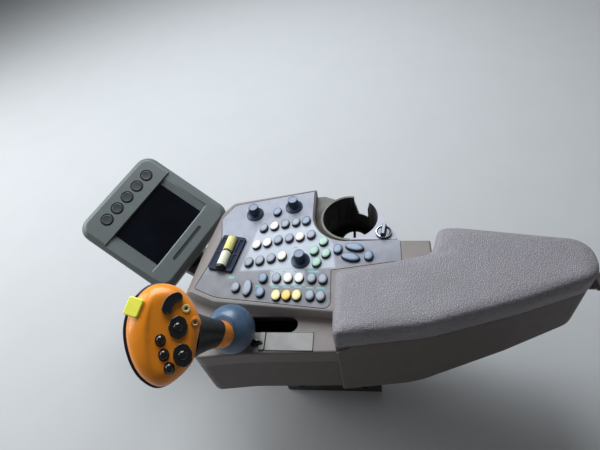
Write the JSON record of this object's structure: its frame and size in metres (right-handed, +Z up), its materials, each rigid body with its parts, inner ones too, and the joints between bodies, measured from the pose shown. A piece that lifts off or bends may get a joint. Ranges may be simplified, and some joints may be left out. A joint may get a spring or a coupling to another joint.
{
  "type": "combine harvester cab control console",
  "caption": "Right-hand cab console: display on a leaning post, drive lever with control grip, keypad, cup holder and padded armrest over a storage bin.",
  "frame": {"origin": "middle of the four bolt holes, on the driver's side face of the seat bracket's upright plate", "axes": "+X forward in the cab, +Y towards the driver and out of the bolted face, +Z up"},
  "size_m": [0.7143, 0.4142, 0.403],
  "materials": {
    "housing_plastic": "fine-grained",
    "keypad_plastic": "satin",
    "armrest_skin": "grained",
    "cup_plastic": "satin",
    "case_plastic": "grained",
    "screen_glass": "glossy",
    "key_grey": "satin",
    "key_white": "satin",
    "key_green": "satin",
    "key_blue": "satin",
    "key_yellow": "satin",
    "knob_plastic": "satin",
    "paddle_yellow": "satin",
    "paddle_cream": "satin",
    "black_plastic": "satin",
    "boot_rubber": "glossy",
    "orange_plastic": "glossy",
    "grip_rubber": "satin",
    "lamp_lens": "glossy",
    "stop_yellow": "glossy",
    "steel": "machined",
    "black_steel": "satin powder coat"
  },
  "bodies": {
    "console": {"seat_bracket": "black_steel", "lower_shell": "housing_plastic", "top_housing": "housing_plastic", "keypad_plate": "keypad_plastic", "keys_grey": "key_grey", "keys_white": "key_white", "keys_green": "key_green", "keys_blue": "key_blue", "keys_yellow": "key_yellow", "keys_long": "key_grey", "rotary_knobs": "knob_plastic", "selector_knob": "knob_plastic", "paddle_frame": "black_plastic", "paddle_yellow": "paddle_yellow", "paddle_cream": "paddle_cream", "cup_holder": "cup_plastic", "card_plate": "black_plastic", "lock_lever": "black_plastic", "armrest_base": "housing_plastic", "lid_hinge_pin": "steel", "lever_guide": "steel", "display_arm": "black_steel"},
    "lever": {"lever_carriage": "steel", "lever_shaft": "steel", "lever_boot": "boot_rubber", "lever_collar": "orange_plastic", "grip_back": "grip_rubber", "grip_face": "orange_plastic", "grip_pads": "black_plastic", "grip_buttons": "black_plastic", "grip_lamps": "lamp_lens", "grip_rocker": "black_plastic", "stop_button": "stop_yellow"},
    "display_yoke": {"swivel_yoke": "black_steel", "tilt_pin": "steel"},
    "display": {"display_back": "case_plastic", "display_case": "case_plastic", "display_screen": "screen_glass", "display_keys": "case_plastic"},
    "armrest_lid": {"lid_plate": "housing_plastic", "armrest_pad": "armrest_skin"}
  },
  "joints": [
    {"name": "lever_slide", "type": "slide", "parent": "console", "child": "lever", "axis": [-1, 0, 0], "range_m": [0, 0.0595]},
    {"name": "display_swivel", "type": "hinge", "parent": "console", "child": "display_yoke", "pos_m": [0.27907, -0.19248, 0.14169], "axis": [0.342, 0, 0.9397], "range_deg": [-10, 32]},
    {"name": "display_tilt", "type": "hinge", "parent": "display_yoke", "child": "display", "pos_m": [0.27907, -0.19248, 0.14169], "axis": [-0.509, -0.8406, 0.1853], "range_deg": [-20, 20]},
    {"name": "lid_hinge", "type": "hinge", "parent": "console", "child": "armrest_lid", "pos_m": [-0.331, -0.062, 0.188], "axis": [0, -1, 0], "range_deg": [0, 70]}
  ]
}
